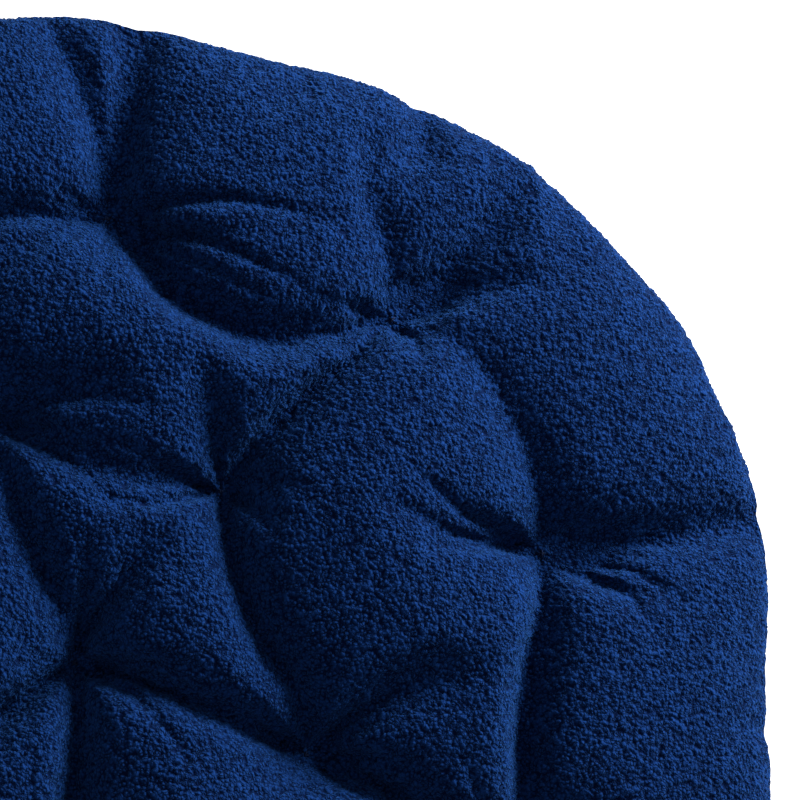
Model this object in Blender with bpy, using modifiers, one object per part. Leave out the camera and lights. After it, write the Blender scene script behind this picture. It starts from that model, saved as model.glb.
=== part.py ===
"""Large round tufted cushion: two fleece covers, two fibre batts and sixteen through tufts.

Units are metres and +Z is up. The origin is on the floor, under the centre of the round outline.
The cushion lies flat: its seam is level, and the puffs of its underside are flattened on the floor.
"""
import math

import bmesh
import bpy
from mathutils import Vector
from mathutils.geometry import delaunay_2d_cdt

OBJECT_NAME = "tufted_round_cushion"

# Driving sizes
RADIUS = 0.56
SEAM_HEIGHT = 0.068
HALF_LOFT = 0.084
COVER_THICKNESS = 0.003
GAP = 0.0003

# Shape of the loft: how square the rim's roll is, and the depth and width of each tuft's pit
RIM_POWER = 4.0
PIT_HALF_LOFT = 0.012
PIT_WIDTH = 0.055

# Tuft places, (x, y) from the centre of the cushion
TUFTS = (
    (-0.016, 0.029),
    (-0.087, 0.217), (0.099, 0.167), (0.169, -0.043), (-0.021, -0.167), (-0.198, -0.029),
    (0.004, 0.389), (0.239, 0.312), (0.363, 0.121), (0.342, -0.125), (0.226, -0.304),
    (0.006, -0.381), (-0.214, -0.309), (-0.362, -0.112), (-0.353, 0.122), (-0.219, 0.311),
)

# Facets of the quilted surfaces
RIM_SEGMENTS = 48
RIM_INSETS = (0.0, 0.005, 0.025)
HOLE_RADIUS = 0.0035
PIT_FLOOR_RADIUS = 0.014
PIT_RINGS = ((HOLE_RADIUS, 6), (PIT_FLOOR_RADIUS, 6), (0.038, 9))
PUFF_SPACING = 0.058

# Fibre batts
BATT_RIM_INSET = 0.010
BATT_CLEARANCE = 0.0050

# Threads and tuft hardware
SEAM_THREAD_RADIUS = 0.0012
SEAM_THREAD_INSET = 0.0065
STITCH_RADIUS = 0.0008
STITCH_FIRST_CORNER = 27
STITCH_LAST_CORNER = 32
TWINE_RADIUS = 0.0012
TWINE_SIDES = 6
KNOT_RADIUS = 0.0045
KNOT_HEIGHT = 0.004
BUTTON_RADIUS = 0.011
BUTTON_THICKNESS = 0.004
BUTTON_SIDES = 10

NAVY_FLEECE = (0.005, 0.022, 0.090)
NAVY_THREAD = (0.004, 0.015, 0.060)
WHITE_FIBRE = (0.80, 0.80, 0.78)
NAVY_PLASTIC = (0.008, 0.020, 0.060)


def clear_scene():
    for item in list(bpy.data.objects):
        bpy.data.objects.remove(item, do_unlink=True)


def new_collection(name):
    collection = bpy.data.collections.new(name)
    bpy.context.scene.collection.children.link(collection)
    return collection


def new_material(name, colour, roughness):
    material = bpy.data.materials.new(name)
    material.use_nodes = True
    shader = material.node_tree.nodes["Principled BSDF"]
    shader.inputs["Base Color"].default_value = (*colour, 1.0)
    shader.inputs["Roughness"].default_value = roughness
    shader.inputs["Metallic"].default_value = 0.0
    return material


def add_object(name, data, material, collection):
    data.materials.append(material)
    item = bpy.data.objects.new(name, data)
    collection.objects.link(item)
    return item


def loft(x, y, radius=RADIUS):
    """Half of the cushion's thickness at a place: a round-edged dome with a pit at each tuft."""
    reach = min(math.hypot(x, y) / radius, 1.0)
    dome = HALF_LOFT * math.sqrt(1.0 - reach ** RIM_POWER)
    fullness = 1.0
    for tuft_x, tuft_y in TUFTS:
        distance = math.hypot(x - tuft_x, y - tuft_y)
        fullness *= 1.0 - math.exp(-(distance / PIT_WIDTH) ** 2)
    return PIT_HALF_LOFT + (dome - PIT_HALF_LOFT) * fullness


def pit_loft(distance):
    """Half of the thickness at a small distance from a tuft's centre."""
    rise = 1.0 - math.exp(-(distance / PIT_WIDTH) ** 2)
    return PIT_HALF_LOFT + (HALF_LOFT - PIT_HALF_LOFT) * rise


def ring(centre, radius, count):
    """Evenly spaced points around a circle, from its +X side."""
    angles = [2.0 * math.pi * step / count for step in range(count)]
    return [centre + Vector((math.cos(a), math.sin(a))) * radius for a in angles]


def quilt_layout(radius):
    """Points and triangles of a flat disc with a hole at each tuft, denser around tufts and rim."""
    points = []
    hole_edges = []
    for tuft in TUFTS:
        for pit_radius, count in PIT_RINGS:
            first = len(points)
            points += ring(Vector(tuft), pit_radius, count)
            if pit_radius == HOLE_RADIUS:
                hole_edges += [(first + i, first + (i + 1) % count) for i in range(count)]
    hole_points = {index for edge in hole_edges for index in edge}

    for inset in RIM_INSETS:
        points += ring(Vector((0.0, 0.0)), radius - inset, RIM_SEGMENTS)

    row_step = PUFF_SPACING * math.sqrt(3.0) / 2.0
    rows = int(RADIUS / row_step) + 1
    columns = int(RADIUS / PUFF_SPACING) + 1
    pit_reach = PIT_RINGS[-1][0] + PUFF_SPACING * 0.45
    rim_reach = RADIUS - BATT_RIM_INSET - RIM_INSETS[-1] - PUFF_SPACING * 0.5
    for row in range(-rows, rows + 1):
        shift = PUFF_SPACING * 0.5 * (row % 2)
        for column in range(-columns, columns + 1):
            place = Vector((column * PUFF_SPACING + shift, row * row_step))
            clear = all((place - Vector(tuft)).length > pit_reach for tuft in TUFTS)
            if clear and place.length < rim_reach:
                points.append(place)

    result = delaunay_2d_cdt(points, hole_edges, [], 0, 1e-6)
    flat_points, triangles, origins = result[0], result[2], result[3]
    hole_now = {i for i, sources in enumerate(origins) if hole_points.intersection(sources)}
    kept = [corners for corners in triangles if not hole_now.issuperset(corners)]
    return flat_points, kept


def quilt_mesh(radius, height):
    """An open surface over the disc, with height(x, y) giving its z, facing up."""
    points, triangles = quilt_layout(radius)
    bm = bmesh.new()
    verts = [bm.verts.new((p.x, p.y, height(p.x, p.y))) for p in points]
    for corners in triangles:
        bm.faces.new([verts[i] for i in corners])
    bm.normal_update()
    if sum(face.normal.z for face in bm.faces) < 0.0:
        bmesh.ops.reverse_faces(bm, faces=bm.faces[:])
    return bm


def finish_mesh(bm, name, material, collection):
    """Turn the closed body's faces outwards and make it an object."""
    bmesh.ops.recalc_face_normals(bm, faces=bm.faces[:])
    if bm.calc_volume(signed=True) < 0.0:
        bmesh.ops.reverse_faces(bm, faces=bm.faces[:])
    mesh = bpy.data.meshes.new(name)
    bm.to_mesh(mesh)
    bm.free()
    return add_object(name, mesh, material, collection)


def build_cover(name, side, material, collection):
    """A fleece sheet over one side (+1 top, -1 underside) that ends at the seam."""
    def height(x, y):
        full = loft(x, y)
        if side < 0:
            full = min(full, SEAM_HEIGHT)
        return max(full, GAP / 2.0)

    bm = quilt_mesh(RADIUS, height)
    bmesh.ops.solidify(bm, geom=bm.faces[:], thickness=COVER_THICKNESS)
    for vert in bm.verts:
        vert.co.z = SEAM_HEIGHT + side * max(vert.co.z, GAP / 2.0)
    return finish_mesh(bm, name, material, collection)


def build_batt(name, side, material, collection):
    """Fibre between the seam's level and one cover, squeezed thin at each tuft."""
    def height(x, y):
        full = loft(x, y, RADIUS - BATT_RIM_INSET)
        if side < 0:
            full = min(full, SEAM_HEIGHT)
        return max(full - BATT_CLEARANCE, 2.0 * GAP)

    bm = quilt_mesh(RADIUS - BATT_RIM_INSET, height)
    grown = bmesh.ops.extrude_face_region(bm, geom=bm.faces[:])
    for item in grown["geom"]:
        if isinstance(item, bmesh.types.BMVert):
            item.co.z = GAP / 2.0
    for vert in bm.verts:
        vert.co.z = SEAM_HEIGHT + side * vert.co.z
    return finish_mesh(bm, name, material, collection)


def turned_object(name, profile, sides, material, collection):
    """A closed solid turned about Z from profile points (radius, z), listed top to bottom."""
    mesh = bpy.data.meshes.new(name)
    closed = profile[0][0] > 0.0
    edges = [(i, i + 1) for i in range(len(profile) - 1)]
    if closed:
        edges.append((len(profile) - 1, 0))
    mesh.from_pydata([(r, 0.0, z) for r, z in profile], edges, [])
    item = add_object(name, mesh, material, collection)
    screw = item.modifiers.new("turn", "SCREW")
    screw.axis = "Z"
    screw.steps = sides
    screw.render_steps = sides
    screw.use_merge_vertices = True
    screw.merge_threshold = 0.00001
    screw.use_smooth_shade = True
    return item


def build_twine(number, place, material, collection):
    """The twine of one tuft, with its stitch in the top pit and its knot under the button."""
    stitch_bottom = pit_loft(2.0 * KNOT_RADIUS) + GAP
    knot_top = -(pit_loft(PIT_FLOOR_RADIUS) + BUTTON_THICKNESS + GAP)
    profile = (
        (0.0, stitch_bottom + KNOT_HEIGHT),
        (KNOT_RADIUS * 0.75, stitch_bottom + KNOT_HEIGHT * 0.75),
        (KNOT_RADIUS, stitch_bottom + KNOT_HEIGHT * 0.3),
        (TWINE_RADIUS, stitch_bottom),
        (TWINE_RADIUS, knot_top),
        (KNOT_RADIUS * 0.8, knot_top - KNOT_HEIGHT * 0.4),
        (0.0, knot_top - KNOT_HEIGHT * 0.8),
    )
    item = turned_object(f"tuft_twine_{number:02d}", profile, TWINE_SIDES, material, collection)
    item.location = (*place, SEAM_HEIGHT)


def build_button(number, place, material, collection):
    """The button that one tuft's twine is tied against, in the underside's pit."""
    hole = TWINE_RADIUS + 2.0 * GAP
    top = -pit_loft(PIT_FLOOR_RADIUS)
    bottom = top - BUTTON_THICKNESS
    profile = (
        (BUTTON_RADIUS, top),
        (BUTTON_RADIUS * 0.85, bottom),
        (hole, bottom),
        (hole, top),
    )
    item = turned_object(f"tuft_button_{number:02d}", profile, BUTTON_SIDES, material, collection)
    item.location = (*place, SEAM_HEIGHT)


def build_seam_thread(material, collection):
    """The thread that sews the two covers together, just inside their rim."""
    bpy.ops.mesh.primitive_torus_add(
        location=(0.0, 0.0, SEAM_HEIGHT),
        major_segments=RIM_SEGMENTS,
        minor_segments=6,
        major_radius=RADIUS - SEAM_THREAD_INSET,
        minor_radius=SEAM_THREAD_RADIUS,
    )
    item = bpy.context.object
    item.name = "rim_seam_thread"
    item.data.materials.append(material)
    for owner in list(item.users_collection):
        owner.objects.unlink(item)
    collection.objects.link(item)


def build_closing_stitch(material, collection):
    """The hand-sewn thread over the stretch of seam where the fibre was put in."""
    curve = bpy.data.curves.new("closing_stitch", "CURVE")
    curve.dimensions = "3D"
    curve.bevel_depth = STITCH_RADIUS
    curve.bevel_resolution = 1
    curve.use_fill_caps = True
    corners = ring(Vector((0.0, 0.0)), RADIUS + STITCH_RADIUS + GAP, RIM_SEGMENTS)
    route = corners[STITCH_FIRST_CORNER:STITCH_LAST_CORNER + 1]
    spline = curve.splines.new("POLY")
    spline.points.add(len(route) - 1)
    for point, place in zip(spline.points, route):
        point.co = (place.x, place.y, SEAM_HEIGHT, 1.0)
    add_object("closing_stitch", curve, material, collection)


def build_cushion():
    clear_scene()
    collection = new_collection(OBJECT_NAME)
    fleece = new_material("navy_fleece", NAVY_FLEECE, 0.95)
    fibre = new_material("white_fibre", WHITE_FIBRE, 0.9)
    thread = new_material("navy_thread", NAVY_THREAD, 0.8)
    plastic = new_material("navy_plastic", NAVY_PLASTIC, 0.4)

    build_cover("top_cover", 1, fleece, collection)
    build_cover("bottom_cover", -1, fleece, collection)
    build_batt("upper_fibre_batt", 1, fibre, collection)
    build_batt("lower_fibre_batt", -1, fibre, collection)
    build_seam_thread(thread, collection)
    build_closing_stitch(thread, collection)
    for number, place in enumerate(TUFTS, start=1):
        build_twine(number, place, thread, collection)
        build_button(number, place, plastic, collection)


build_cushion()
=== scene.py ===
"""Round tufted cushion in deep-pile navy fleece, lying flat and seen from above.

The covers are sculpted, inflated by a cloth simulation that holds the tufts, and given their pile.
Sizes are in metres, in the frame's own axes: +Z is up, and the origin is under the cushion.
"""

import math

import bmesh
import bpy
import numpy as np
from mathutils import Matrix, Vector
from mathutils.geometry import delaunay_2d_cdt
from mathutils.kdtree import KDTree


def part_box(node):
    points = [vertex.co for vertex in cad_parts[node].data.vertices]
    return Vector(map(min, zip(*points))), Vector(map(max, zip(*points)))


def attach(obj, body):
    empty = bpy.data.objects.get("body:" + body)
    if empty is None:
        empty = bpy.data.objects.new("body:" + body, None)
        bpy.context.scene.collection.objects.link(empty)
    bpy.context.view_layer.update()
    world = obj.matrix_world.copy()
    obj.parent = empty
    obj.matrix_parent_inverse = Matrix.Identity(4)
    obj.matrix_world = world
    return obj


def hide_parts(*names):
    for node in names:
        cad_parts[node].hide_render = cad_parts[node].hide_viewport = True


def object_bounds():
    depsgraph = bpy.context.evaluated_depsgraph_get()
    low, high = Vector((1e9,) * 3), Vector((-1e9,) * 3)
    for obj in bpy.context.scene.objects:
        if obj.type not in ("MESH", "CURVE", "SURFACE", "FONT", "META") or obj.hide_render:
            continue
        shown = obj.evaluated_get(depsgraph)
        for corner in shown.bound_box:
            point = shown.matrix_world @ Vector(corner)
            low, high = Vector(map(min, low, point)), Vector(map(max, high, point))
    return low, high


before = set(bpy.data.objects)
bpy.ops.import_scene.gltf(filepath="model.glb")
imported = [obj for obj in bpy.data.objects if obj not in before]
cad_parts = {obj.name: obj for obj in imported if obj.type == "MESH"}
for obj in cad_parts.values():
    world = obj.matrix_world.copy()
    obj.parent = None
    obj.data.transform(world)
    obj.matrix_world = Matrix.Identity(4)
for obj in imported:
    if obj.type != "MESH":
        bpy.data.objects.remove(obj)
CAD_LOW, CAD_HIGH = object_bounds()

# ---- places from the frame

TUFT_COUNT = 16


def centre_of(node):
    low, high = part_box(node)
    return (np.array(low) + np.array(high)) / 2.0


RADIUS = (CAD_HIGH.x - CAD_LOW.x) / 2.0
SEAM_Z = float(centre_of("rim_seam_thread")[2])
TOP_LOFT = CAD_HIGH.z - SEAM_Z
TUFTS = {n: centre_of(f"tuft_twine_{n:02d}")[:2] for n in range(1, TUFT_COUNT + 1)}
OUTER_TUFTS = range(7, TUFT_COUNT + 1)

# ---- the covers before they are filled

# The cloth mesh: the length of its edges, how far its grid's points are moved at random, and how
# far they stay from the rim and from the points on the folds
EDGE = 0.0062
EDGE_JITTER = 0.18
GRID_GAP = 0.70 * EDGE
# Its points on the folds: the step along a fold, and the least distance to the others and the rim
FOLD_STEP = 0.90 * EDGE
FOLD_SPACING = 0.72 * EDGE
RIM_GAP = 0.80 * EDGE

# The dome that each flat panel is raised to, and the share of its height below which folds fade out
START_RADIUS = RADIUS * 0.955
START_LOFT = 0.070
START_RIM_POWER = 4.5
RELIEF_FADE = 0.75

# The pits at the tufts: their distance to the seam, the radius of the floor that is held, and how
# far out the cloth rises
PIT_LOFT = 0.0125
PIT_FLOOR = 0.0062
LOW_PIT_LOFT = 0.0160
LOW_PIT_FLOOR = 0.0115
PIT_REACH = 0.023

# Folds between tufts: the start, points on the way and the end (a number is a tuft), the depth at
# each end, and how fast the cloth rises to the left and to the right of the fold's direction
FOLDS = (
    ((7, (-0.033, 0.383), (-0.083, 0.377), (-0.157, 0.347), 16), 0.034, 0.030, 0.050, 0.030),
    ((7, (-0.002, 0.425), (-0.021, 0.474), (-0.043, 0.521), (-0.058, 0.557)), 0.034, 0.020, 0.030, 0.050),
    ((7, (0.012, 0.446), (0.017, 0.495), (0.020, 0.536), (0.023, 0.565)), 0.040, 0.022, 0.035, 0.075),
    ((7, (0.025, 0.361), (0.054, 0.322), (0.116, 0.293), (0.165, 0.293), (0.202, 0.301), 8),
     0.045, 0.030, 0.060, 0.024),
    ((8, (0.227, 0.355), (0.215, 0.384), (0.208, 0.421)), 0.016, 0.002, 0.040, 0.040),
    ((8, (0.272, 0.338), (0.309, 0.371), (0.336, 0.398)), 0.050, 0.000, 0.045, 0.035),
    ((8, (0.289, 0.320), (0.338, 0.323)), 0.044, 0.002, 0.050, 0.020),
    ((8, (0.202, 0.276), (0.169, 0.248), (0.124, 0.202), 3), 0.026, 0.046, 0.060, 0.024),
    ((3, (0.087, 0.215), (0.074, 0.260)), 0.036, 0.004, 0.030, 0.040),
    ((3, (0.101, 0.132), (0.116, 0.083), (0.136, 0.041), (0.158, 0.008), 4), 0.042, 0.036, 0.050, 0.026),
    ((8, (0.272, 0.287), (0.305, 0.257), (0.337, 0.206), (0.355, 0.157), 9), 0.007, 0.036, 0.060, 0.045),
    ((9, (0.413, 0.125), (0.487, 0.136), (0.543, 0.155)), 0.036, 0.016, 0.045, 0.035),
    ((9, (0.353, 0.066), (0.342, 0.017), (0.337, -0.033), (0.337, -0.083), 10), 0.046, 0.044, 0.055, 0.020),
    ((9, (0.400, 0.091), (0.446, 0.074)), 0.026, 0.004, 0.030, 0.040),
    ((4, (0.206, -0.012), (0.248, 0.008), (0.289, 0.018)), 0.042, 0.004, 0.045, 0.035),
    ((4, (0.215, -0.062), (0.256, -0.087), (0.293, -0.111), 10), 0.040, 0.034, 0.035, 0.045),
    ((4, (0.107, -0.015), (0.041, 0.008), 1), 0.030, 0.036, 0.030, 0.030),
    ((1, (0.007, 0.073), (0.029, 0.101), (0.046, 0.116)), 0.042, 0.006, 0.045, 0.028),
    ((1, (-0.012, 0.078), (-0.014, 0.120)), 0.032, 0.006, 0.030, 0.030),
    ((1, (-0.013, -0.017), (-0.015, -0.058), (-0.020, -0.099), 5), 0.046, 0.034, 0.055, 0.020),
    ((2, (-0.045, 0.235), (0.008, 0.243)), 0.036, 0.004, 0.040, 0.030),
    ((2, (-0.033, 0.190), (0.033, 0.173), 3), 0.014, 0.018, 0.040, 0.035),
    ((2, (-0.066, 0.149), (-0.037, 0.083), 1), 0.024, 0.030, 0.030, 0.040),
    ((2, (-0.105, 0.281), (-0.084, 0.335), 7), 0.016, 0.014, 0.050, 0.050),
    (((0.251, 0.440), (0.255, 0.466), (0.252, 0.492)), 0.010, 0.020, 0.014, 0.018),
)
# Neighbours that no fold joins, and how far apart two tufts count as neighbours
UNFOLDED_PAIRS = ((1, 3), (3, 7), (3, 9), (4, 9), (4, 5))
NEIGHBOUR_REACH = 0.262
# Folds made by rule, where none are listed: the bow to either side, the depth and how it varies,
# the widths on the bow's outside and inside, and the depth where one ends at the rim
RULED_BOWS = (-0.016, 0.018)
RULED_DEPTH = 0.034
RULED_DEPTH_CHANGE = 0.006
RULED_WIDTHS = (0.055, 0.024)
RIM_DEPTH = 0.014
# The two folds from an outer tuft to the rim: the turn in radians, the depth and the width
RIM_FOLDS = ((0.05, 0.036, 0.050), (-0.09, 0.026, 0.030))

# How steeply the cloth leaves a fold, how sharply folds and pits meet, and how firmly the
# simulation holds a fold of full depth (1 is pinned)
FOLD_FALL = 2.3
BLEND_POWER = 3.0
FOLD_HOLD = 0.25
FULL_FOLD = 0.045

# Fans of small wrinkles: the tuft, the fan's middle and spread in degrees from +X, how many, how
# long and how deep
FANS = (
    (7, -20, 44, 5, 0.185, 0.0125), (7, 76, 24, 3, 0.120, 0.0050), (7, 172, 30, 3, 0.090, 0.0065),
    (8, 184, 34, 4, 0.110, 0.0072), (8, 6, 34, 3, 0.080, 0.0072), (8, -75, 50, 4, 0.060, 0.0058),
    (3, 178, 54, 5, 0.120, 0.0072), (3, -20, 50, 4, 0.080, 0.0058), (3, 100, 30, 2, 0.070, 0.0058),
    (2, -14, 50, 6, 0.150, 0.0060), (1, -22, 46, 6, 0.140, 0.0087), (1, 78, 40, 4, 0.080, 0.0072),
    (4, 150, 44, 5, 0.110, 0.0072), (4, -18, 50, 5, 0.110, 0.0087), (4, 40, 40, 3, 0.090, 0.0072),
    (9, 168, 34, 5, 0.150, 0.0080), (9, -22, 50, 6, 0.120, 0.0080), (9, 30, 34, 3, 0.090, 0.0058),
    (10, 40, 60, 5, 0.110, 0.0072), (10, 150, 60, 5, 0.110, 0.0072),
)
# Their width before the filling, and how far around a fan they are worked out
START_WRINKLE_WIDTH = 0.0075
WRINKLE_MARGIN = 0.03

# ---- simulation

# How much the cloth grows, as a share of its size, and how the fibre fills it; points with less
# than the least hold are left free
GROWTH = 0.065
PRESSURE = 3.0
STIFFNESS = 25.0
BENDING = 2.5
DAMPING = 8.0
FRAMES = 24
LEAST_HOLD = 0.02

# ---- the covers after they are filled

# Passes and strength of the smoothing, for the whole cloth and then for the fold lines alone
SOFTEN_ALL = (2, 0.45)
SOFTEN_FOLDS = (6, 0.6)
FOLD_LINE_HOLD = 0.004

# The share of the radius beyond which the outline is fitted, the percentile of height that is
# brought to the frame's top, and how the underside flattens on the floor
FIT_FROM = 0.66
FULL_HEIGHT = 99.9
REST_CLEARANCE = 0.001
REST_SOFTNESS = 0.012

# The least distance to the seam: the slope of the pits' walls, how far it runs, how far from the
# rim the full distance is reached, and the softness of the limit
PIT_SLOPE = 0.45
PIT_SLOPE_REACH = 0.018
RIM_TAPER = 0.070
LIMIT_SLACK = 0.001
LIMIT_SOFTNESS = 0.004

# Finer relief: wrinkles, the crease and the wider valley of each fold, and how they fade out
# towards the rim and the tufts
WRINKLE_WIDTH = 0.0044
WRINKLE_SHARE = 1.15
CREASE_WIDTH = 0.0060
CREASE_SHARE = 0.09
VALLEY_WIDTH = 0.019
VALLEY_SHARE = 0.24
VALLEY_REACH = 0.06
RIM_FADE = (0.004, 0.030)
TUFT_FADE = (0.006, 0.018)

# The share by which the walls of the pits are drawn in, and from how far
GATHER = 0.78
GATHER_REACH = 0.020

# Swells and dents of the outline: bearing in degrees from +X, height, width in degrees; the last
# eight are the nicks where folds meet the rim
RIM_SWELLS = (
    (45, 0.0085, 50), (20, 0.003, 5), (93, 0.002, 7), (77, -0.0165, 11), (61, -0.002, 5),
    (49, 0.005, 8), (32, 0.012, 7.5), (17, 0.008, 6.5), (1, -0.0095, 6.5), (-30, 0.008, 14),
    (-52, -0.008, 9), (-85, 0.006, 12), (-112, -0.007, 10), (-140, 0.007, 13), (-168, -0.008, 9),
    (165, 0.008, 12), (140, -0.007, 10), (115, 0.006, 10),
    (87.5, -0.003, 1.3), (62.5, -0.003, 1.2), (15.5, -0.003, 1.2), (-2.5, -0.003, 1.2),
    (-47, -0.003, 1.4), (-105, -0.003, 1.4), (-160, -0.003, 1.4), (131, -0.003, 1.4),
)

# ---- pile

# The curls: their height, how many fit in a metre, the curl height that stays on the surface, and
# how far from the seam they come up
PILE_HEIGHT = 0.0022
PILE_SCALE = 350.0
PILE_LEVEL = 0.6
PILE_FADE = (0.0005, 0.006)
# The fleece's colour along its tone: the dark stops are painted shade for the cracks and low parts between
# the curls, the light stop is the curl tops
PILE_COLOURS_WITH_PAINTED_SHADE = (
    (0.16, (0.0001, 0.0024, 0.0180)),
    (0.50, (0.0009, 0.0088, 0.0470)),
    (0.95, (0.0038, 0.0240, 0.1130)),
)
# Noises that bend the curls out of shape: the scale and the shift
PILE_WARPS = ((150.0, 0.0050), (480.0, 0.0018))
# The fall from a curl's middle, the narrowness of the cracks between curls, the patches where the
# curls are parted, and the lumps under them
CURL_FALL = 1.4
CRACK_SHARPNESS = 5.0
PARTING_SCALE = 120.0
PARTING_SHARE = 0.38
PARTING_CONTRAST = 4.0
LUMP_SCALE = 280.0
LUMP_HEIGHT = 0.7

# ---- fibre, thread and buttons

# A batt: its distance to the cover, how many rings of points it is lowered over, how far from the
# tufts it rises, its least height, its foot's distance to the seam, and the share of faces kept
BATT_MARGIN = 0.012
BATT_RINGS = 3
BATT_FADE = (0.020, 0.060)
BATT_LEAST = 0.0006
BATT_GAP = 0.0002
BATT_FACES = 0.15

THREAD_RADIUS = 0.0009
THREAD_INSET = 0.0035
KNOT_HALF = 0.0026
STITCH_STEP = 0.009
STITCH_HALF = 0.0032
# One rung of the ladder stitch: its inset from the rim, and its height as a share of STITCH_HALF
STITCH_RUNG = ((0.0040, -1.1), (0.0, -0.9), (-0.0008, 0.0), (0.0, 0.9), (0.0040, 1.1))
# A strand of twine above the button: its offset from the tuft as a share of KNOT_HALF, and its
# height over the pit's floor
TWINE_ROUTE = (
    (-0.8, -0.010), (-1.0, -0.001), (-0.7, 0.0010), (0.0, 0.0018), (0.7, 0.0010), (1.0, -0.001),
    (0.8, -0.010),
)
TWINE_SPREAD = 0.7
STRAND_LIFT = 0.0008
# A button, from the edge of its flat top round to its hollow underside: shares of its radius and
# of its thickness
BUTTON_PROFILE = (
    (0.55, 0.0), (0.86, -0.10), (0.97, -0.32), (1.0, -0.52), (0.97, -0.74), (0.88, -0.93),
    (0.76, -1.0), (0.62, -0.94), (0.40, -0.84), (0.18, -0.82),
)
BUTTON_SIDES = 40

# ---- light and view

FLOOR_SIZE = 8.0
FLOOR_GAP = 0.0005
SKY_STRENGTH = 0.50
KEY_PLACE = (1.9, 1.6, 0.78)
KEY_TARGET = (0.1, 0.1, 0.05)
KEY_SIZE = 1.0
KEY_POWER = 240.0
KEY_COLOUR = (1.0, 0.99, 0.97)
VIEW_CENTRE = (0.2475, 0.2475)
VIEW_WIDTH = 0.66
CAMERA_FOOT = (-0.0825, -0.0825)
CAMERA_HEIGHT = 2.2

# ---- curves and distances

def place(point):
    """A tuft's place if the point is a tuft's number, or the point itself."""
    return np.array(TUFTS[point] if isinstance(point, int) else point, float)


def smooth_path(points, steps=8):
    """A smooth curve through the points, as a polyline."""
    path = [2.0 * points[0] - points[1], *points, 2.0 * points[-1] - points[-2]]
    line = []
    for before, start, end, after in zip(path, path[1:], path[2:], path[3:]):
        for t in np.linspace(0.0, 1.0, steps, endpoint=False):
            line.append(0.5 * (
                2.0 * start + (end - before) * t
                + (2.0 * before - 5.0 * start + 4.0 * end - after) * t ** 2
                + (3.0 * start - before - 3.0 * end + after) * t ** 3
            ))
    line.append(points[-1])
    return np.array(line)


def along(flat, line):
    """Each point's distance to a polyline, its side (+1 is left) and its place along, 0 to 1."""
    steps = np.diff(line, axis=0)
    lengths = np.hypot(steps[:, 0], steps[:, 1])
    starts = np.r_[0.0, np.cumsum(lengths)]
    nearest = np.full(len(flat), 9.0)
    side = np.ones(len(flat))
    share = np.zeros(len(flat))
    for start, step, length, run in zip(line[:-1], steps, lengths, starts):
        t = np.clip((flat - start) @ step / length ** 2, 0.0, 1.0)
        away = flat - start - t[:, None] * step
        distance = np.hypot(away[:, 0], away[:, 1])
        closer = distance < nearest
        nearest[closer] = distance[closer]
        side[closer] = np.sign(step[0] * away[closer, 1] - step[1] * away[closer, 0])
        share[closer] = (run + t[closer] * length) / starts[-1]
    return nearest, side, share


def smoothstep(low, high, value):
    t = np.clip((value - low) / (high - low), 0.0, 1.0)
    return t * t * (3.0 - 2.0 * t)


def tuft_distance(points):
    """Each point's distance to the nearest tuft, seen from above."""
    return np.min([np.hypot(*(points[:, :2] - tuft).T) for tuft in TUFTS.values()], axis=0)


def outline(bearing):
    """The rim's radius in a direction."""
    radius = np.full_like(bearing, RADIUS)
    for angle, height, width in RIM_SWELLS:
        turn = np.degrees(bearing) - angle
        turn = (turn + 180.0) % 360.0 - 180.0
        radius += height * np.exp(-(turn / width) ** 2)
    return radius


def rim_inset(points):
    """How far inside the rim each point is, seen from above."""
    return outline(np.arctan2(points[:, 1], points[:, 0])) - np.hypot(points[:, 0], points[:, 1])


# ---- the sculpted start

def ruled_folds(known):
    """Folds between neighbouring tufts that have none yet, and from the outer tufts to the rim."""
    folds = []
    count = 0
    for a in TUFTS:
        for b in TUFTS:
            span = TUFTS[b] - TUFTS[a]
            length = np.hypot(*span)
            if b <= a or length > NEIGHBOUR_REACH or (a, b) in known:
                continue
            count += 1
            bow = RULED_BOWS[count % 2] * (1.0 + 0.4 * math.sin(count * 2.3))
            middle = (TUFTS[a] + TUFTS[b]) / 2.0 + bow * np.array((-span[1], span[0])) / length
            depth = RULED_DEPTH + RULED_DEPTH_CHANGE * math.sin(count * 1.7)
            widths = RULED_WIDTHS if bow > 0.0 else RULED_WIDTHS[::-1]
            folds.append((smooth_path([TUFTS[a], middle, TUFTS[b]], 10), depth, depth, *widths))
    for n in OUTER_TUFTS:
        if (n, 0) in known:
            continue
        bearing = math.atan2(TUFTS[n][1], TUFTS[n][0])
        lean = 1.0 if n % 2 else -1.0
        for turn, depth, width in RIM_FOLDS:
            aside = bearing + turn * lean
            end = RADIUS * np.array((math.cos(aside), math.sin(aside)))
            middle = (TUFTS[n] + end) / 2.0 + 0.006 * np.array((-math.sin(bearing), math.cos(bearing)))
            folds.append((smooth_path([TUFTS[n], middle, end]), depth, RIM_DEPTH, width, 0.040))
    return folds


def top_folds():
    folds = []
    known = set(UNFOLDED_PAIRS)
    for route, start_depth, end_depth, left, right in FOLDS:
        folds.append((smooth_path([place(p) for p in route]), start_depth, end_depth, left, right))
        if isinstance(route[-1], int):
            known.add((min(route[0], route[-1]), max(route[0], route[-1])))
        else:
            known.add((route[0], 0))
    return folds + ruled_folds(known)


def ruled_fans(shift):
    """Fans of wrinkles where none are listed, turned by a rule so that no two tufts match."""
    fans = []
    for n in TUFTS:
        for turn in range(3):
            middle = 47.0 * n + 121.0 * turn + shift
            fans.append((n, middle, 50, 4 + (n + turn) % 3, 0.10 + 0.01 * ((n + turn) % 4), 0.005))
    return fans


def top_fans():
    listed = {fan[0] for fan in FANS}
    return list(FANS) + [fan for fan in ruled_fans(0.0) if fan[0] not in listed]


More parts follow.
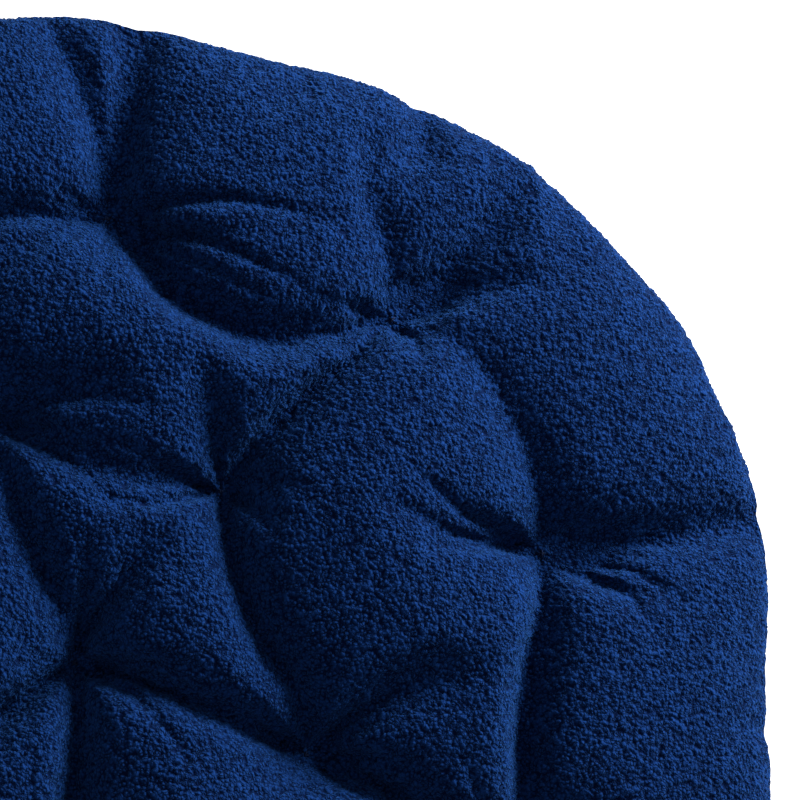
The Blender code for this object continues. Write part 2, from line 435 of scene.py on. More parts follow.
def wrinkle_depth(flat, fans, width):
    """Small wrinkles that run out of the tufts, each bent and turned by its own fixed wander."""
    wrinkles = np.zeros(len(flat))
    for n, middle, spread, count, reach, depth in fans:
        offset = flat - TUFTS[n]
        near = np.nonzero(np.hypot(offset[:, 0], offset[:, 1]) < reach + WRINKLE_MARGIN)[0]
        for k in range(count):
            wander = math.sin(n * 7.1 + k * 3.7)
            angle = math.radians(middle + spread * ((k + 0.5) / count - 0.5) + 3.0 * wander)
            length = reach * (0.80 + 0.20 * wander)
            points = [
                TUFTS[n] + length * t * np.array((math.cos(angle + bend), math.sin(angle + bend)))
                for t, bend in ((0.06, 0.0), (0.5, 0.06 * wander), (1.0, -0.10 * wander))
            ]
            distance, _, share = along(flat[near], smooth_path(points, 4))
            fade = np.minimum(share / 0.12, 1.0) * (1.0 - share)
            wrinkles[near] += depth * fade * np.exp(-(distance / width) ** 2)
    return wrinkles


def sculpted_loft(flat, folds, fans, floor, floor_reach):
    """Height over the seam before the cloth is inflated, and how firmly the folds hold each point."""
    reach = np.minimum(np.hypot(flat[:, 0], flat[:, 1]) / START_RADIUS, 1.0)
    dome = START_LOFT * np.sqrt(1.0 - reach ** START_RIM_POWER)
    relief = np.zeros(len(flat))
    hold = np.zeros(len(flat))
    for line, start_depth, end_depth, left, right in folds:
        distance, side, share = along(flat, line)
        width = np.where(side > 0.0, left, right)
        depth = start_depth + (end_depth - start_depth) * share
        relief += (depth * np.exp(-FOLD_FALL * distance / width)) ** BLEND_POWER
        hold = np.maximum(hold, FOLD_HOLD * depth / FULL_FOLD * np.exp(-(distance / EDGE) ** 2))
    for tuft in TUFTS.values():
        distance = np.maximum(np.hypot(*(flat - tuft).T) - floor_reach, 0.0)
        relief += ((START_LOFT - floor) * np.exp(-distance / PIT_REACH)) ** BLEND_POWER
    relief = relief ** (1.0 / BLEND_POWER) + wrinkle_depth(flat, fans, START_WRINKLE_WIDTH)
    share = np.clip(dome / (RELIEF_FADE * START_LOFT), 0.0, 1.0)
    return np.maximum(dome - relief * share, np.minimum(dome, floor)), hold * share ** 2


def crease_depth(flat, folds, fans):
    """The sharp lines at the bottom of the folds and of the wrinkles, for the finer mesh."""
    wrinkles = wrinkle_depth(flat, fans, WRINKLE_WIDTH) * WRINKLE_SHARE
    crease = np.zeros(len(flat))
    for line, start_depth, end_depth, _, _ in folds:
        low, high = line.min(axis=0) - VALLEY_REACH, line.max(axis=0) + VALLEY_REACH
        near = np.nonzero(((flat > low) & (flat < high)).all(axis=1))[0]
        distance, _, share = along(flat[near], line)
        depth = start_depth + (end_depth - start_depth) * share
        profile = CREASE_SHARE * np.exp(-(distance / CREASE_WIDTH) ** 2)
        profile += VALLEY_SHARE * np.exp(-(distance / VALLEY_WIDTH) ** 2)
        crease[near] = np.maximum(crease[near], depth * profile)
    return wrinkles + crease


def fold_points(lines):
    """Points along the folds, an edge's length apart, starting from the tufts."""
    kept = np.array(list(TUFTS.values()))
    for line in lines:
        lengths = np.r_[0.0, np.cumsum(np.hypot(*np.diff(line, axis=0).T))]
        runs = np.arange(0.0, lengths[-1], FOLD_STEP)
        for point in np.c_[np.interp(runs, lengths, line[:, 0]), np.interp(runs, lengths, line[:, 1])]:
            inside = np.hypot(*point) < START_RADIUS - RIM_GAP
            if inside and np.hypot(*(kept - point).T).min() > FOLD_SPACING:
                kept = np.vstack([kept, point])
    return kept


def cloth_layout(lines):
    """Points and triangles of one flat round panel, with points on the tufts and the folds."""
    rng = np.random.default_rng(4)
    row_step = EDGE * math.sqrt(3.0) / 2.0
    rows = int(START_RADIUS / row_step) + 2
    columns = int(START_RADIUS / EDGE) + 2
    grid = np.array([
        ((i + 0.5 * (j % 2)) * EDGE, j * row_step)
        for j in range(-rows, rows + 1)
        for i in range(-columns, columns + 1)
    ])
    grid = grid[np.hypot(grid[:, 0], grid[:, 1]) < START_RADIUS - GRID_GAP]
    grid += rng.uniform(-EDGE_JITTER, EDGE_JITTER, grid.shape) * EDGE
    crest = fold_points(lines)
    tree = KDTree(len(crest))
    for index, point in enumerate(crest):
        tree.insert((*point, 0.0), index)
    tree.balance()
    grid = grid[[tree.find((*point, 0.0))[2] > GRID_GAP for point in grid]]
    grid = np.vstack([grid, crest])
    rim_count = int(2.0 * math.pi * START_RADIUS / EDGE)
    turns = 2.0 * math.pi * np.arange(rim_count) / rim_count
    rim = START_RADIUS * np.c_[np.cos(turns), np.sin(turns)]
    points = [Vector(p) for p in np.vstack([grid, rim]).tolist()]
    result = delaunay_2d_cdt(points, [], [], 0, 1e-6)
    flat = np.array([tuple(p) for p in result[0]])
    return flat, np.array([t for t in result[2] if len(t) == 3])


# ---- meshes

def mesh_from(name, points, triangles):
    mesh = bpy.data.meshes.new(name)
    mesh.vertices.add(len(points))
    mesh.vertices.foreach_set("co", points.astype(np.float32).ravel())
    mesh.loops.add(triangles.size)
    mesh.loops.foreach_set("vertex_index", triangles.astype(np.int32).ravel())
    mesh.polygons.add(len(triangles))
    mesh.polygons.foreach_set("loop_start", np.arange(0, triangles.size, 3, dtype=np.int32))
    mesh.update(calc_edges=True)
    return mesh


def object_from(name, mesh):
    item = bpy.data.objects.new(name, mesh)
    bpy.context.scene.collection.objects.link(item)
    return item


def points_of(mesh):
    points = np.empty(len(mesh.vertices) * 3, np.float32)
    mesh.vertices.foreach_get("co", points)
    return points.reshape(-1, 3).astype(float)


# ---- filling the covers

def inflate(points, faces, pinned, hold):
    """The sewn covers after the fibre has filled them out, with the tufts held."""
    mesh = mesh_from("inflating", points, faces)
    bm = bmesh.new()
    bm.from_mesh(mesh)
    bmesh.ops.recalc_face_normals(bm, faces=bm.faces[:])
    if bm.calc_volume(signed=True) < 0.0:
        bmesh.ops.reverse_faces(bm, faces=bm.faces[:])
    bm.to_mesh(mesh)
    bm.free()
    item = object_from("inflating", mesh)
    tufts = item.vertex_groups.new(name="tufts")
    for index in np.nonzero(hold > LEAST_HOLD)[0]:
        tufts.add([int(index)], float(hold[index]), "REPLACE")
    tufts.add(pinned, 1.0, "REPLACE")
    cloth = item.modifiers.new("cloth", "CLOTH")
    settings = cloth.settings
    settings.quality = 4
    settings.mass = 0.15
    settings.air_damping = 4.0
    settings.tension_stiffness = STIFFNESS
    settings.compression_stiffness = STIFFNESS * 0.4
    settings.shear_stiffness = STIFFNESS * 0.15
    settings.bending_stiffness = BENDING
    settings.tension_damping = DAMPING
    settings.compression_damping = DAMPING
    settings.shear_damping = DAMPING
    settings.bending_damping = 1.0
    settings.use_pressure = True
    settings.uniform_pressure_force = PRESSURE
    settings.shrink_min = -GROWTH
    settings.vertex_group_mass = "tufts"
    settings.effector_weights.gravity = 0.0
    cloth.collision_settings.use_collision = False
    cloth.collision_settings.use_self_collision = False
    cloth.point_cache.frame_start = 1
    cloth.point_cache.frame_end = FRAMES
    scene = bpy.context.scene
    for step in range(1, FRAMES + 1):
        scene.frame_set(step)
    filled = points_of(item.evaluated_get(bpy.context.evaluated_depsgraph_get()).data)
    scene.frame_set(1)
    bpy.data.objects.remove(item)
    return filled


# ---- shaping the filled covers

def edges_of(triangles):
    pairs = np.vstack([triangles[:, [0, 1]], triangles[:, [1, 2]], triangles[:, [2, 0]]])
    return np.unique(np.sort(pairs, axis=1), axis=0)


def soften(points, faces, fixed, passes, share):
    """Moves each point a share of the way to the mean of its neighbours, apart from the fixed ones."""
    edges = edges_of(faces)
    count = np.bincount(edges.ravel(), minlength=len(points))[:, None]
    free = np.ones(len(points), bool)
    free[fixed] = False
    for _ in range(passes):
        around = np.zeros_like(points)
        np.add.at(around, edges[:, 0], points[edges[:, 1]])
        np.add.at(around, edges[:, 1], points[edges[:, 0]])
        step = (around / count - points) * share
        points = points + step * free[:, None]
    return points


def fitted(points, rim):
    """The inflated form brought to the frame's outline and height, and flattened where it rests."""
    bearing = np.arctan2(points[:, 1], points[:, 0])
    reach = np.hypot(points[:, 0], points[:, 1])
    order = np.argsort(bearing[rim])
    now = np.interp(bearing, bearing[rim][order], reach[rim][order], period=2.0 * math.pi)
    widest = np.maximum(now, 1e-6)
    share = smoothstep(FIT_FROM, 1.0, reach / widest)
    scale = 1.0 + (outline(bearing) / widest - 1.0) * share
    result = points.copy()
    result[:, :2] *= scale[:, None]
    result[:, 2] *= TOP_LOFT / np.percentile(points[:, 2], FULL_HEIGHT)
    depth = np.maximum(-result[:, 2], 0.0)
    room = SEAM_Z - REST_CLEARANCE
    flattened = room - REST_SOFTNESS * np.exp(-(depth - room + REST_SOFTNESS) / REST_SOFTNESS)
    pressed = np.where(depth > room - REST_SOFTNESS, flattened, depth)
    result[:, 2] = np.where(result[:, 2] < 0.0, -pressed, result[:, 2]) + SEAM_Z
    return result


def gathered(points):
    """Draws the walls of each pit in around its twine."""
    points = points.copy()
    for tuft in TUFTS.values():
        away = points[:, :2] - tuft
        share = GATHER * np.exp(-(np.hypot(away[:, 0], away[:, 1]) / GATHER_REACH) ** 2)
        share *= (points[:, 2] > SEAM_Z)
        points[:, :2] -= away * share[:, None]
    return points


def apart(points, tops, lows, slope):
    """Keeps the covers apart, so that the pits end at the tufts and the fibre has room."""
    rise = slope * np.clip(tuft_distance(points) - PIT_FLOOR, 0.0, PIT_SLOPE_REACH)
    share = smoothstep(0.0, RIM_TAPER, np.maximum(rim_inset(points), 0.0))
    for part, side, loft in ((tops, 1.0, PIT_LOFT), (lows, -1.0, LOW_PIT_LOFT)):
        height = (points[part, 2] - SEAM_Z) * side
        floor = (loft - LIMIT_SLACK + rise[part]) * share[part]
        sunk = np.maximum(floor + LIMIT_SOFTNESS - height, 0.0)
        limited = floor + LIMIT_SOFTNESS * np.exp(-sunk / LIMIT_SOFTNESS)
        height = np.where(sunk > 0.0, limited, height)
        points[part, 2] = SEAM_Z + side * height
    return points


def split(points, faces, rounded):
    """A closed mesh with each triangle split in four, and rounded off if asked (Loop's rule)."""
    pairs = np.sort(np.vstack([faces[:, [0, 1]], faces[:, [1, 2]], faces[:, [2, 0]]]), axis=1)
    keys, which = np.unique(pairs[:, 0].astype(np.int64) * len(points) + pairs[:, 1], return_inverse=True)
    edges = np.c_[keys // len(points), keys % len(points)]
    middles = points[edges].mean(axis=1)
    corners = points
    if rounded:
        opposite = points[np.r_[faces[:, 2], faces[:, 0], faces[:, 1]]]
        near = np.zeros_like(points)
        across = np.zeros_like(middles)
        for axis in range(3):
            across[:, axis] = np.bincount(which, opposite[:, axis], len(edges))
            for end, other in ((0, 1), (1, 0)):
                near[:, axis] += np.bincount(edges[:, end], points[edges[:, other], axis], len(points))
        middles = 0.75 * middles + 0.125 * across
        count = np.bincount(edges.ravel(), minlength=len(points))
        pull = ((0.625 - (0.375 + 0.25 * np.cos(2.0 * math.pi / count)) ** 2) / count)[:, None]
        corners = points * (1.0 - count[:, None] * pull) + near * pull
    ab, bc, ca = which.reshape(3, -1) + len(points)
    a, b, c = faces.T
    quarters = np.stack([(a, ab, ca), (b, bc, ab), (c, ca, bc), (ab, bc, ca)])
    return np.vstack([corners, middles]), quarters.transpose(2, 0, 1).reshape(-1, 3)


# ---- the whole form

def sewn_panels(sides):
    """The sculpted covers, sewn at the rim: flat points, raised points, faces (the top ones first),
    the rim's points, the top's and bottom's points, the pinned ones, and each point's hold."""
    flat, triangles = cloth_layout([fold[0] for folds, _ in sides for fold in folds])
    on_rim = np.hypot(flat[:, 0], flat[:, 1]) > START_RADIUS - 1e-5
    top, top_hold = sculpted_loft(flat, *sides[0], PIT_LOFT, PIT_FLOOR)
    low, low_hold = sculpted_loft(flat, *sides[1], LOW_PIT_LOFT, LOW_PIT_FLOOR)
    top[on_rim] = 0.0
    inner = np.nonzero(~on_rim)[0]
    tops = np.arange(len(flat))
    twin = tops.copy()
    twin[inner] = len(flat) + np.arange(len(inner))
    points = np.vstack([np.c_[flat, top], np.c_[flat[inner], -low[inner]]])
    pinned = []
    for tuft in TUFTS.values():
        away = np.hypot(*(flat - tuft).T)
        for index in np.nonzero(away < LOW_PIT_FLOOR)[0]:
            points[twin[index], 2] = -LOW_PIT_LOFT
            pinned.append(int(twin[index]))
        for index in np.nonzero(away < PIT_FLOOR)[0]:
            points[index, 2] = PIT_LOFT
            pinned.append(int(index))
    faces = np.vstack([triangles, twin[triangles][:, ::-1]])
    hold = np.r_[top_hold, low_hold[inner]]
    rest = np.vstack([flat, flat[inner]])
    return rest, points, faces, np.nonzero(on_rim)[0], tops, twin[inner], pinned, hold


def relief_of(rest, tops, lows, sides):
    """How far the finer wrinkles and creases move each point down, or up on the underside."""
    depth = np.zeros(len(rest))
    for part, (folds, fans) in zip((tops, lows), sides):
        depth[part] = crease_depth(rest[part, :2], folds, fans)
    depth *= smoothstep(*RIM_FADE, START_RADIUS - np.hypot(rest[:, 0], rest[:, 1]))
    for tuft in TUFTS.values():
        depth *= smoothstep(*TUFT_FADE, np.hypot(*(rest[:, :2] - tuft).T))
    depth[lows] *= -1.0
    return depth


def build_form():
    """The filled cushion as points and triangles, top ones first: coarse, and fine with its creases."""
    sides = (top_folds(), top_fans()), (ruled_folds(set()), ruled_fans(35.0))
    rest, points, faces, rim, tops, lows, pinned, hold = sewn_panels(sides)
    filled = soften(inflate(points, faces, pinned, hold), faces, pinned, *SOFTEN_ALL)
    off_folds = np.nonzero(hold < FOLD_LINE_HOLD)[0].tolist()
    filled = soften(filled, faces, pinned + off_folds, *SOFTEN_FOLDS)
    filled = apart(fitted(filled, rim), tops, lows, PIT_SLOPE)
    rest = np.c_[rest, np.zeros(len(rest))]
    fine, fine_faces = filled, faces
    for _ in range(2):
        rest, _ = split(rest, fine_faces, False)
        fine, fine_faces = split(fine, fine_faces, True)
    tops, lows = (np.unique(part) for part in np.split(fine_faces, 2))
    fine[:, 2] -= relief_of(rest, tops, lows, sides)
    fine = apart(gathered(fine), tops, lows, 0.0)
    return (fine[:len(filled)], faces), (fine, fine_faces)


# ---- materials

def new_material(name):
    material = bpy.data.materials.new(name)
    material.use_nodes = True
    return material, material.node_tree, material.node_tree.nodes["Principled BSDF"]


def add_node(tree, kind, **settings):
    node = tree.nodes.new(kind)
    for key, value in settings.items():
        setattr(node, key, value)
    return node


def math_node(tree, operation, first, second=None, clamp=False):
    node = add_node(tree, "ShaderNodeMath", operation=operation, use_clamp=clamp)
    for socket, value in zip(node.inputs, (first, second)):
        if isinstance(value, (int, float)):
            socket.default_value = value
        elif value is not None:
            tree.links.new(value, socket)
    return node.outputs[0]


def noise_node(tree, vector, scale, detail=2.0, colour=False):
    noise = add_node(tree, "ShaderNodeTexNoise", noise_dimensions="3D")
    noise.inputs["Scale"].default_value = scale
    noise.inputs["Detail"].default_value = detail
    tree.links.new(vector, noise.inputs["Vector"])
    return noise.outputs["Color" if colour else "Fac"]


def around_zero(tree, value, amount):
    """A 0 to 1 value as -amount/2 to +amount/2."""
    return math_node(tree, "MULTIPLY", math_node(tree, "SUBTRACT", value, 0.5), amount)


def total(tree, *values):
    """The sum of several values."""
    result = values[0]
    for value in values[1:]:
        result = math_node(tree, "ADD", result, value)
    return result


def pile_curls(tree, rest):
    """Curls of the pile, in a shader or a geometry tree: (height, cracks), both 0 to 1."""
    warped = rest
    for scale, shift in PILE_WARPS:
        moved = add_node(tree, "ShaderNodeVectorMath", operation="MULTIPLY_ADD")
        tree.links.new(noise_node(tree, rest, scale, 1.0, colour=True), moved.inputs[0])
        moved.inputs[1].default_value = (shift,) * 3
        tree.links.new(warped, moved.inputs[2])
        warped = moved.outputs[0]
    domes = add_node(tree, "ShaderNodeTexVoronoi", feature="F1")
    cracks = add_node(tree, "ShaderNodeTexVoronoi", feature="DISTANCE_TO_EDGE")
    for node in (domes, cracks):
        node.inputs["Scale"].default_value = PILE_SCALE
        tree.links.new(warped, node.inputs["Vector"])
    squared = math_node(tree, "POWER", domes.outputs["Distance"], 2.0)
    fall = math_node(tree, "MULTIPLY", squared, CURL_FALL)
    dome = math_node(tree, "SUBTRACT", 1.0, fall, clamp=True)
    patches = math_node(tree, "SUBTRACT", noise_node(tree, rest, PARTING_SCALE, 1.0), PARTING_SHARE)
    parted = math_node(tree, "MULTIPLY", patches, PARTING_CONTRAST, clamp=True)
    inside = math_node(tree, "MULTIPLY", cracks.outputs["Distance"], CRACK_SHARPNESS)
    gap = math_node(tree, "SUBTRACT", 1.0, inside, clamp=True)
    crack = math_node(tree, "SUBTRACT", 1.0, math_node(tree, "MULTIPLY", gap, parted))
    lumps = around_zero(tree, noise_node(tree, rest, LUMP_SCALE, 1.0), LUMP_HEIGHT)
    height = math_node(tree, "ADD", math_node(tree, "MULTIPLY", dome, crack), lumps, clamp=True)
    return height, crack


def ramp_node(tree, value, stops):
    ramp = add_node(tree, "ShaderNodeValToRGB")
    tree.links.new(value, ramp.inputs["Fac"])
    elements = ramp.color_ramp.elements
    while len(elements) < len(stops):
        elements.new(0.5)
    for element, (position, colour) in zip(elements, stops):
        element.position = position
        element.color = (*colour, 1.0)
    return ramp.outputs["Color"]


def bump_node(tree, height, distance, strength=1.0, under=None):
    bump = add_node(tree, "ShaderNodeBump")
    bump.inputs["Strength"].default_value = strength
    bump.inputs["Distance"].default_value = distance
    tree.links.new(height, bump.inputs["Height"])
    if under is not None:
        tree.links.new(under, bump.inputs["Normal"])
    return bump.outputs["Normal"]


def fleece_material():
    """Navy sherpa fleece: matted curls, with painted shade darkening the short gaps between them, and a
    soft sheen.
    """
    material, tree, shader = new_material("navy_fleece")
    rest = add_node(tree, "ShaderNodeAttribute", attribute_name="rest").outputs["Vector"]
    height, crack = pile_curls(tree, rest)
    fibres = noise_node(tree, rest, 780.0, 3.0)
    # The tone: the curls' height and cracks paint shade into the gaps and low parts between the curls, and
    # two noises vary the fibres' colour at random
    tone_with_painted_shade = total(
        tree,
        math_node(tree, "MULTIPLY", height, 0.62),
        math_node(tree, "MULTIPLY", crack, 0.20),
        around_zero(tree, fibres, 0.70),
        around_zero(tree, noise_node(tree, rest, 30.0, 3.0), 0.20),
    )
    tree.links.new(ramp_node(tree, tone_with_painted_shade, PILE_COLOURS_WITH_PAINTED_SHADE), shader.inputs["Base Color"])
    curls = bump_node(tree, height, 0.0016)
    tree.links.new(bump_node(tree, fibres, 0.0006, 0.7, curls), shader.inputs["Normal"])
    shader.inputs["Roughness"].default_value = 0.95
    shader.inputs["Specular IOR Level"].default_value = 0.03
    shader.inputs["Sheen Weight"].default_value = 0.16
    shader.inputs["Sheen Roughness"].default_value = 0.45
    shader.inputs["Sheen Tint"].default_value = (0.06, 0.28, 0.90, 1.0)
    return material


def fibre_material():
    """White polyester fibre batting."""
    material, tree, shader = new_material("white_fibre")
    coords = add_node(tree, "ShaderNodeTexCoord").outputs["Object"]
    strands = noise_node(tree, coords, 240.0, 6.0)
    clumps = noise_node(tree, coords, 30.0, 2.0)
    mix = math_node(tree, "MULTIPLY", strands, clumps)
    colour = ramp_node(tree, mix, ((0.1, (0.62, 0.62, 0.60)), (0.5, (0.86, 0.86, 0.84))))
    tree.links.new(colour, shader.inputs["Base Color"])
    tree.links.new(bump_node(tree, strands, 0.002), shader.inputs["Normal"])
    shader.inputs["Roughness"].default_value = 0.9
    return material


def thread_material():
    """Waxed navy thread with a twist."""
    material, tree, shader = new_material("navy_thread")
    coords = add_node(tree, "ShaderNodeTexCoord").outputs["Object"]
    twist = add_node(tree, "ShaderNodeTexWave", wave_type="BANDS", bands_direction="DIAGONAL")
    twist.inputs["Scale"].default_value = 260.0
    twist.inputs["Distortion"].default_value = 0.6
    tree.links.new(coords, twist.inputs["Vector"])
    stops = ((0.1, (0.0008, 0.0030, 0.0130)), (0.8, (0.0024, 0.0100, 0.0420)))
    tree.links.new(ramp_node(tree, twist.outputs["Fac"], stops), shader.inputs["Base Color"])
    tree.links.new(bump_node(tree, twist.outputs["Fac"], 0.0003), shader.inputs["Normal"])
    shader.inputs["Roughness"].default_value = 0.85
    shader.inputs["Specular IOR Level"].default_value = 0.1
    return material


def button_material():
    """Moulded navy plastic with faint scuffs."""
    material, tree, shader = new_material("navy_plastic")
    coords = add_node(tree, "ShaderNodeTexCoord").outputs["Object"]
    scuffs = noise_node(tree, coords, 420.0, 4.0)
    colour = ramp_node(tree, scuffs, ((0.2, (0.006, 0.016, 0.050)), (0.8, (0.010, 0.026, 0.075))))
    tree.links.new(colour, shader.inputs["Base Color"])
    roughness = ramp_node(tree, scuffs, ((0.3, (0.35,) * 3), (0.7, (0.50,) * 3)))
    tree.links.new(roughness, shader.inputs["Roughness"])
    tree.links.new(bump_node(tree, scuffs, 0.0001), shader.inputs["Normal"])
    return material


def floor_material():
    """Pale matt studio floor with a very faint mottle."""
    material, tree, shader = new_material("pale_floor")
    coords = add_node(tree, "ShaderNodeTexCoord").outputs["Object"]
    grain = noise_node(tree, coords, 3.0, 2.0)
    colour = ramp_node(tree, grain, ((0.2, (0.93,) * 3), (0.8, (0.95,) * 3)))
    tree.links.new(colour, shader.inputs["Base Color"])
    shader.inputs["Roughness"].default_value = 0.9
    shader.inputs["Specular IOR Level"].default_value = 0.1
    return material


# ---- pieces

def raise_pile(item):
    """Raises the curls of the pile as real bumps along the normals, fading out at the seam."""
    tree = bpy.data.node_groups.new(item.name + "_pile", "GeometryNodeTree")
    tree.interface.new_socket("Geometry", in_out="INPUT", socket_type="NodeSocketGeometry")
    tree.interface.new_socket("Geometry", in_out="OUTPUT", socket_type="NodeSocketGeometry")
    group_in = tree.nodes.new("NodeGroupInput")
    group_out = tree.nodes.new("NodeGroupOutput")
    rest = add_node(tree, "GeometryNodeInputNamedAttribute", data_type="FLOAT_VECTOR")
    rest.inputs["Name"].default_value = "rest"
    depth = add_node(tree, "GeometryNodeInputNamedAttribute", data_type="FLOAT")
    depth.inputs["Name"].default_value = "pile"
    curls, _ = pile_curls(tree, rest.outputs["Attribute"])
    height = math_node(tree, "MULTIPLY", math_node(tree, "SUBTRACT", curls, PILE_LEVEL), PILE_HEIGHT)
    height = math_node(tree, "MULTIPLY", height, depth.outputs["Attribute"])
    normal = tree.nodes.new("GeometryNodeInputNormal")
    offset = add_node(tree, "ShaderNodeVectorMath", operation="SCALE")
    tree.links.new(normal.outputs[0], offset.inputs[0])
    tree.links.new(height, offset.inputs["Scale"])
    move = tree.nodes.new("GeometryNodeSetPosition")
    tree.links.new(group_in.outputs[0], move.inputs["Geometry"])
    tree.links.new(offset.outputs[0], move.inputs["Offset"])
    tree.links.new(move.outputs["Geometry"], group_out.inputs[0])
    item.modifiers.new("pile", "NODES").node_group = tree


def halves(form):
    """The top and the bottom of a closed form, each with its own points."""
    points, faces = form
    result = []
    for part in np.split(faces, 2):
        used, inverse = np.unique(part, return_inverse=True)
        result.append((points[used], inverse.reshape(-1, 3)))
    return result


def finished(name, mesh, material):
    """An object with its material and smooth shading."""
    mesh.materials.append(material)
    mesh.shade_smooth()
    return object_from(name, mesh)


def object_of(name, points, faces, material):
    mesh = bpy.data.meshes.new(name)
    mesh.from_pydata([tuple(p) for p in points], [], faces)
    mesh.update()
    return finished(name, mesh, material)


def register(item, node):
    """Hides the frame's part that the piece stands for and attaches the piece to the root body."""
    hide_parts(node)
    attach(item, "root")


def build_cover(name, node, points, faces, material):
    """One fleece cover, up to the seam."""
    mesh = mesh_from(name, points, faces)
    item = finished(name, mesh, material)
    depth = smoothstep(*PILE_FADE, np.maximum(rim_inset(points), np.abs(points[:, 2] - SEAM_Z)))
    rest = mesh.attributes.new("rest", "FLOAT_VECTOR", "POINT")
    rest.data.foreach_set("vector", points.astype(np.float32).ravel())
    pile = mesh.attributes.new("pile", "FLOAT", "POINT")
    pile.data.foreach_set("value", depth.astype(np.float32))
    raise_pile(item)
    register(item, node)


def build_batt(name, node, points, faces, side, material):
    """The fibre under one cover, down to the seam's level."""
    height = (points[:, 2] - SEAM_Z) * side
    edges = edges_of(faces)
    for _ in range(BATT_RINGS):
        lower = height.copy()
        np.minimum.at(lower, edges[:, 0], height[edges[:, 1]])
        np.minimum.at(lower, edges[:, 1], height[edges[:, 0]])
        height = lower
    share = smoothstep(*BATT_FADE, tuft_distance(points))
    height = np.maximum((height - BATT_MARGIN) * share, BATT_LEAST)
    flat = points[:, :2] * (1.0 - 2.0 * BATT_MARGIN / RADIUS)
    bm = bmesh.new()
    verts = [bm.verts.new((x, y, h)) for (x, y), h in zip(flat, height)]
    for corners in faces.tolist():
        bm.faces.new([verts[i] for i in corners])
    grown = bmesh.ops.extrude_face_region(bm, geom=bm.faces[:])
    for element in grown["geom"]:
        if isinstance(element, bmesh.types.BMVert):
            element.co.z = BATT_GAP
    for vert in bm.verts:
        vert.co.z = SEAM_Z + side * vert.co.z
    bmesh.ops.recalc_face_normals(bm, faces=bm.faces[:])
    mesh = bpy.data.meshes.new(name)
    bm.to_mesh(mesh)
    bm.free()
    item = finished(name, mesh, material)
    fewer = item.modifiers.new("fewer_faces", "DECIMATE")
    fewer.ratio = BATT_FACES
    register(item, node)


def cord(name, paths, radius, material, closed=False, sides=8):
    """Round cord along each path, as one object."""
    points, faces = [], []
    turns = 2.0 * math.pi * np.arange(sides) / sides
    for path in paths:
        path = np.array(path)
        ahead = np.roll(path, -1, axis=0) - np.roll(path, 1, axis=0)
        if not closed:
            ahead[0], ahead[-1] = path[1] - path[0], path[-1] - path[-2]
        ahead /= np.linalg.norm(ahead, axis=1)[:, None]
        flattest = np.eye(3)[np.abs(ahead).max(axis=0).argmin()]
        first = np.cross(ahead, flattest)
        first /= np.linalg.norm(first, axis=1)[:, None]
        second = np.cross(ahead, first)
        start = len(points)
        for centre, a, b in zip(path, first, second):
            points += [centre + radius * (math.cos(t) * a + math.sin(t) * b) for t in turns]
        count = len(path)
        for i in range(count if closed else count - 1):
            here, there = start + i * sides, start + (i + 1) % count * sides
            faces += [
                (here + k, here + (k + 1) % sides, there + (k + 1) % sides, there + k) for k in range(sides)
            ]
        if not closed:
            faces += [tuple(range(start + sides - 1, start - 1, -1))]
            faces += [tuple(range(start + (count - 1) * sides, start + count * sides))]
    return object_of(name, points, faces, material)


def rim_point(bearing, inset, lift):
    """A point by the seam, inside the rim and over the seam's level."""
    reach = float(outline(np.array([bearing]))[0]) - inset
    return np.array((reach * math.cos(bearing), reach * math.sin(bearing), SEAM_Z + lift))


def build_seam(material):
    """The machine seam's thread, just inside the rim."""
    path = [rim_point(math.radians(turn), THREAD_INSET, 0.0) for turn in range(360)]
    thread = cord("seam_thread", [path], THREAD_RADIUS, material, closed=True)
    register(thread, "rim_seam_thread")


def build_closing(material):
    """The hand-sewn ladder stitches that close the gap the fibre went in through."""
    low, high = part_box("closing_stitch")
    start = math.atan2(high[1], low[0]) % (2.0 * math.pi)
    end = math.atan2(low[1], high[0]) % (2.0 * math.pi)
    count = int((end - start) * RADIUS / STITCH_STEP)
    path = []
    for k in range(count):
        bearing = start + (end - start) * (k + 0.5) / count
        side = 1.0 if k % 2 else -1.0
        path += [rim_point(bearing, inset, side * lift * STITCH_HALF) for inset, lift in STITCH_RUNG]
    stitches = cord("closing_stitches", [smooth_path(path, 3)], THREAD_RADIUS, material)
    register(stitches, "closing_stitch")


def build_twine(n, seat, material):
    """One tuft's twine, up from the button and down again in a small cross stitch."""
    crown = SEAM_Z + PIT_LOFT
    route = [(-TWINE_SPREAD, seat)]
    route += [(share, crown + rise) for share, rise in TWINE_ROUTE]
    route += [(TWINE_SPREAD, seat)]
    strands = []
    for k in range(2):
        turn = 0.7 * n + k * math.pi / 2.0
        across = np.array((math.cos(turn), math.sin(turn)))
        strands.append(smooth_path([
            np.array((*(TUFTS[n] + share * KNOT_HALF * across), z + STRAND_LIFT * k * (z > crown)))
            for share, z in route
        ], 3))
    twine = cord(f"twine_{n:02d}", strands, THREAD_RADIUS, material)
    register(twine, f"tuft_twine_{n:02d}")


def build_button(n, seat, radius, thickness, material):
    """The button under one tuft, turned from its profile."""
    turns = 2.0 * math.pi * np.arange(BUTTON_SIDES) / BUTTON_SIDES
    points = [(*TUFTS[n], seat)]
    for share, drop in BUTTON_PROFILE:
        reach = share * radius
        points += [
            (TUFTS[n][0] + reach * math.cos(t), TUFTS[n][1] + reach * math.sin(t), seat + drop * thickness)
            for t in turns
        ]
    points.append((*TUFTS[n], seat + BUTTON_PROFILE[-1][1] * thickness))
    around = [(k, (k + 1) % BUTTON_SIDES) for k in range(BUTTON_SIDES)]
    faces = [(0, 1 + a, 1 + b) for a, b in around]
    for ring in range(len(BUTTON_PROFILE) - 1):
        here = 1 + ring * BUTTON_SIDES
        there = here + BUTTON_SIDES
        faces += [(here + a, there + a, there + b, here + b) for a, b in around]
    last = 1 + (len(BUTTON_PROFILE) - 1) * BUTTON_SIDES
    faces += [(len(points) - 1, last + b, last + a) for a, b in around]
    button = object_of(f"button_{n:02d}", points, faces, material)
    register(button, f"tuft_button_{n:02d}")


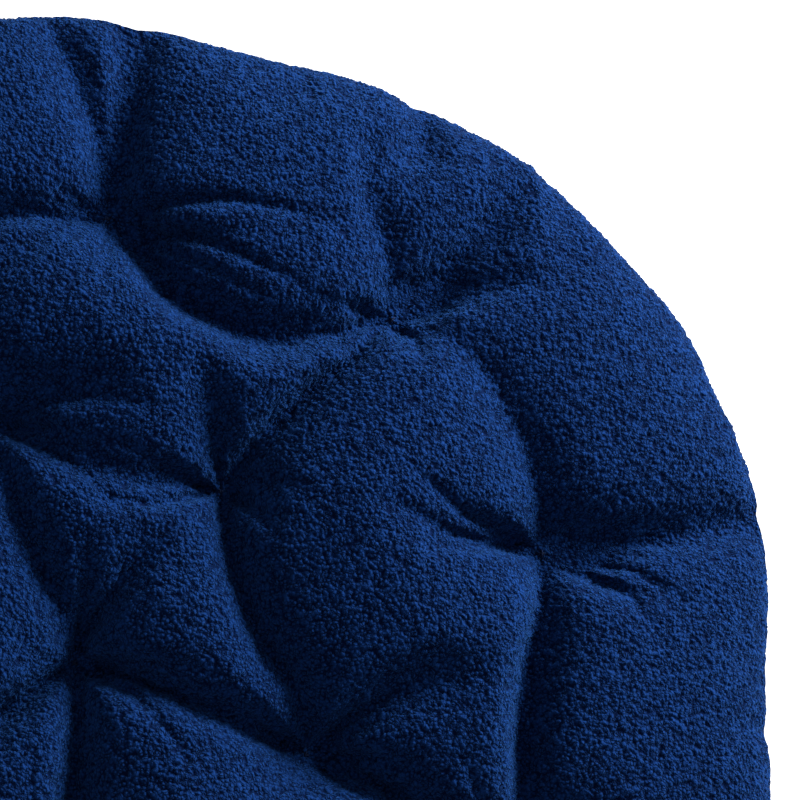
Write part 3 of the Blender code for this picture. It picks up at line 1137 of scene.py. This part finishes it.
def build_tuft(n, thread, plastic):
    """One tuft: the twine through both covers, and the button that it is tied against."""
    low, high = (np.array(corner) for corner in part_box(f"tuft_button_{n:02d}"))
    build_twine(n, high[2], thread)
    build_button(n, high[2], (high[0] - low[0]) / 2.0, high[2] - low[2], plastic)


# ---- stage

def aim(item, position, target, up):
    """Puts a lamp or camera at a place and points it at a target."""
    back = (Vector(position) - Vector(target)).normalized()
    right = Vector(up).cross(back).normalized()
    turned = Matrix((right, back.cross(right), back)).transposed().to_4x4()
    turned.translation = position
    item.matrix_world = turned


def add_area_light(name, position, target, size, power, colour):
    light = bpy.data.lights.new(name, "AREA")
    light.size = size
    light.energy = power
    light.color = colour
    item = object_from(name, light)
    aim(item, position, target, (0.0, 0.3, 1.0))


def build_stage():
    """The floor, an even white sky and one large soft lamp."""
    bpy.ops.mesh.primitive_plane_add(size=FLOOR_SIZE, location=(0.0, 0.0, -FLOOR_GAP))
    floor = bpy.context.object
    floor.name = "floor"
    floor.data.materials.append(floor_material())
    world = bpy.data.worlds.new("studio")
    world.use_nodes = True
    sky = world.node_tree.nodes["Background"]
    sky.inputs["Color"].default_value = (1.0, 1.0, 1.0, 1.0)
    sky.inputs["Strength"].default_value = SKY_STRENGTH
    bpy.context.scene.world = world
    add_area_light("key", KEY_PLACE, KEY_TARGET, KEY_SIZE, KEY_POWER, KEY_COLOUR)


def build_camera():
    """Looks down on the quarter towards +X and +Y, from over a point a little past the centre."""
    data = bpy.data.cameras.new("camera")
    item = object_from("camera", data)
    position = Vector((*CAMERA_FOOT, SEAM_Z + CAMERA_HEIGHT))
    target = Vector((*VIEW_CENTRE, SEAM_Z))
    aim(item, position, target, (0.0, 1.0, 0.0))
    data.lens = data.sensor_width * (position - target).length / VIEW_WIDTH
    bpy.context.scene.camera = item


def build():
    """Every piece of the cushion."""
    fleece = fleece_material()
    fibre = fibre_material()
    thread = thread_material()
    plastic = button_material()
    coarse, fine = build_form()
    top, bottom = halves(fine)
    build_cover("top_fleece_cover", "top_cover", *top, fleece)
    build_cover("bottom_fleece_cover", "bottom_cover", *bottom, fleece)
    top, bottom = halves(coarse)
    build_batt("upper_batt", "upper_fibre_batt", *top, 1, fibre)
    build_batt("lower_batt", "lower_fibre_batt", *bottom, -1, fibre)
    build_seam(thread)
    build_closing(thread)
    for n in TUFTS:
        build_tuft(n, thread, plastic)


build()
build_stage()
build_camera()
bpy.context.scene.view_settings.view_transform = "Standard"
